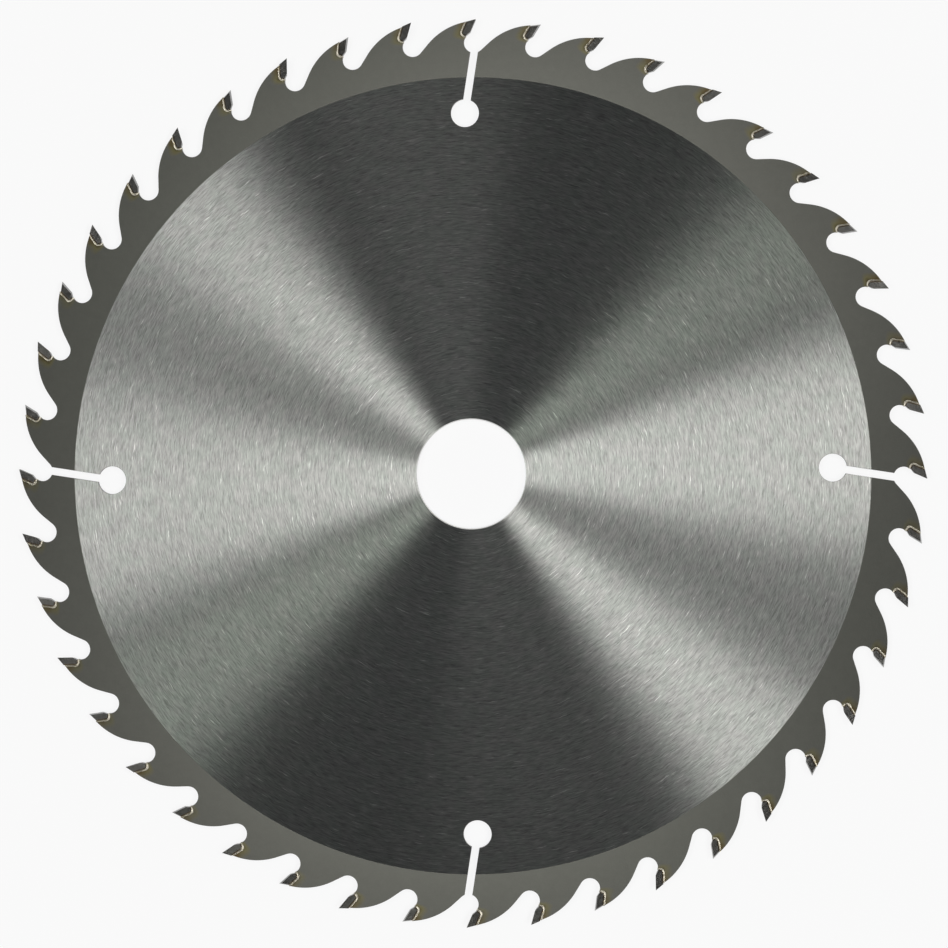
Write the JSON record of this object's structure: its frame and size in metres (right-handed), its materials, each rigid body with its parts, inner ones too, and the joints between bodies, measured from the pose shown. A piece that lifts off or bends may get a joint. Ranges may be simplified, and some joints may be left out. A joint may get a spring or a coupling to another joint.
{
  "type": "circular saw blade",
  "caption": "Carbide-tipped circular saw blade: flat steel disc with an arbor bore, slanted expansion slots and brazed cutting tips on hooked teeth round its rim.",
  "frame": {"origin": "centre of the arbor bore, halfway through the steel plate", "axes": "+Z along the bore's axis, out of the face that is seen; seen from +Z the teeth point clockwise"},
  "size_m": [0.2496, 0.2496, 0.0028],
  "materials": {
    "ground_steel": "circular grinding lines on both faces inside the rim, fine matt grey blasted rim outside",
    "tungsten_carbide": "dark grey ground carbide, duller on its sides",
    "silver_solder": "pale gold braze line round each tip, with a straw to brown heat tint in the steel beside it"
  },
  "bodies": {
    "root": {"saw_body": "ground_steel", "carbide_tip_01": "tungsten_carbide", "carbide_tip_02": "tungsten_carbide", "carbide_tip_03": "tungsten_carbide", "carbide_tip_04": "tungsten_carbide", "carbide_tip_05": "tungsten_carbide", "carbide_tip_06": "tungsten_carbide", "carbide_tip_07": "tungsten_carbide", "carbide_tip_08": "tungsten_carbide", "carbide_tip_09": "tungsten_carbide", "carbide_tip_10": "tungsten_carbide", "carbide_tip_11": "tungsten_carbide", "carbide_tip_12": "tungsten_carbide", "carbide_tip_13": "tungsten_carbide", "carbide_tip_14": "tungsten_carbide", "carbide_tip_15": "tungsten_carbide", "carbide_tip_16": "tungsten_carbide", "carbide_tip_17": "tungsten_carbide", "carbide_tip_18": "tungsten_carbide", "carbide_tip_19": "tungsten_carbide", "carbide_tip_20": "tungsten_carbide", "carbide_tip_21": "tungsten_carbide", "carbide_tip_22": "tungsten_carbide", "carbide_tip_23": "tungsten_carbide", "carbide_tip_24": "tungsten_carbide", "carbide_tip_25": "tungsten_carbide", "carbide_tip_26": "tungsten_carbide", "carbide_tip_27": "tungsten_carbide", "carbide_tip_28": "tungsten_carbide", "carbide_tip_29": "tungsten_carbide", "carbide_tip_30": "tungsten_carbide", "carbide_tip_31": "tungsten_carbide", "carbide_tip_32": "tungsten_carbide", "carbide_tip_33": "tungsten_carbide", "carbide_tip_34": "tungsten_carbide", "carbide_tip_35": "tungsten_carbide", "carbide_tip_36": "tungsten_carbide", "carbide_tip_37": "tungsten_carbide", "carbide_tip_38": "tungsten_carbide", "carbide_tip_39": "tungsten_carbide", "carbide_tip_40": "tungsten_carbide", "carbide_tip_41": "tungsten_carbide", "carbide_tip_42": "tungsten_carbide", "carbide_tip_43": "tungsten_carbide", "carbide_tip_44": "tungsten_carbide"}
  },
  "joints": []
}
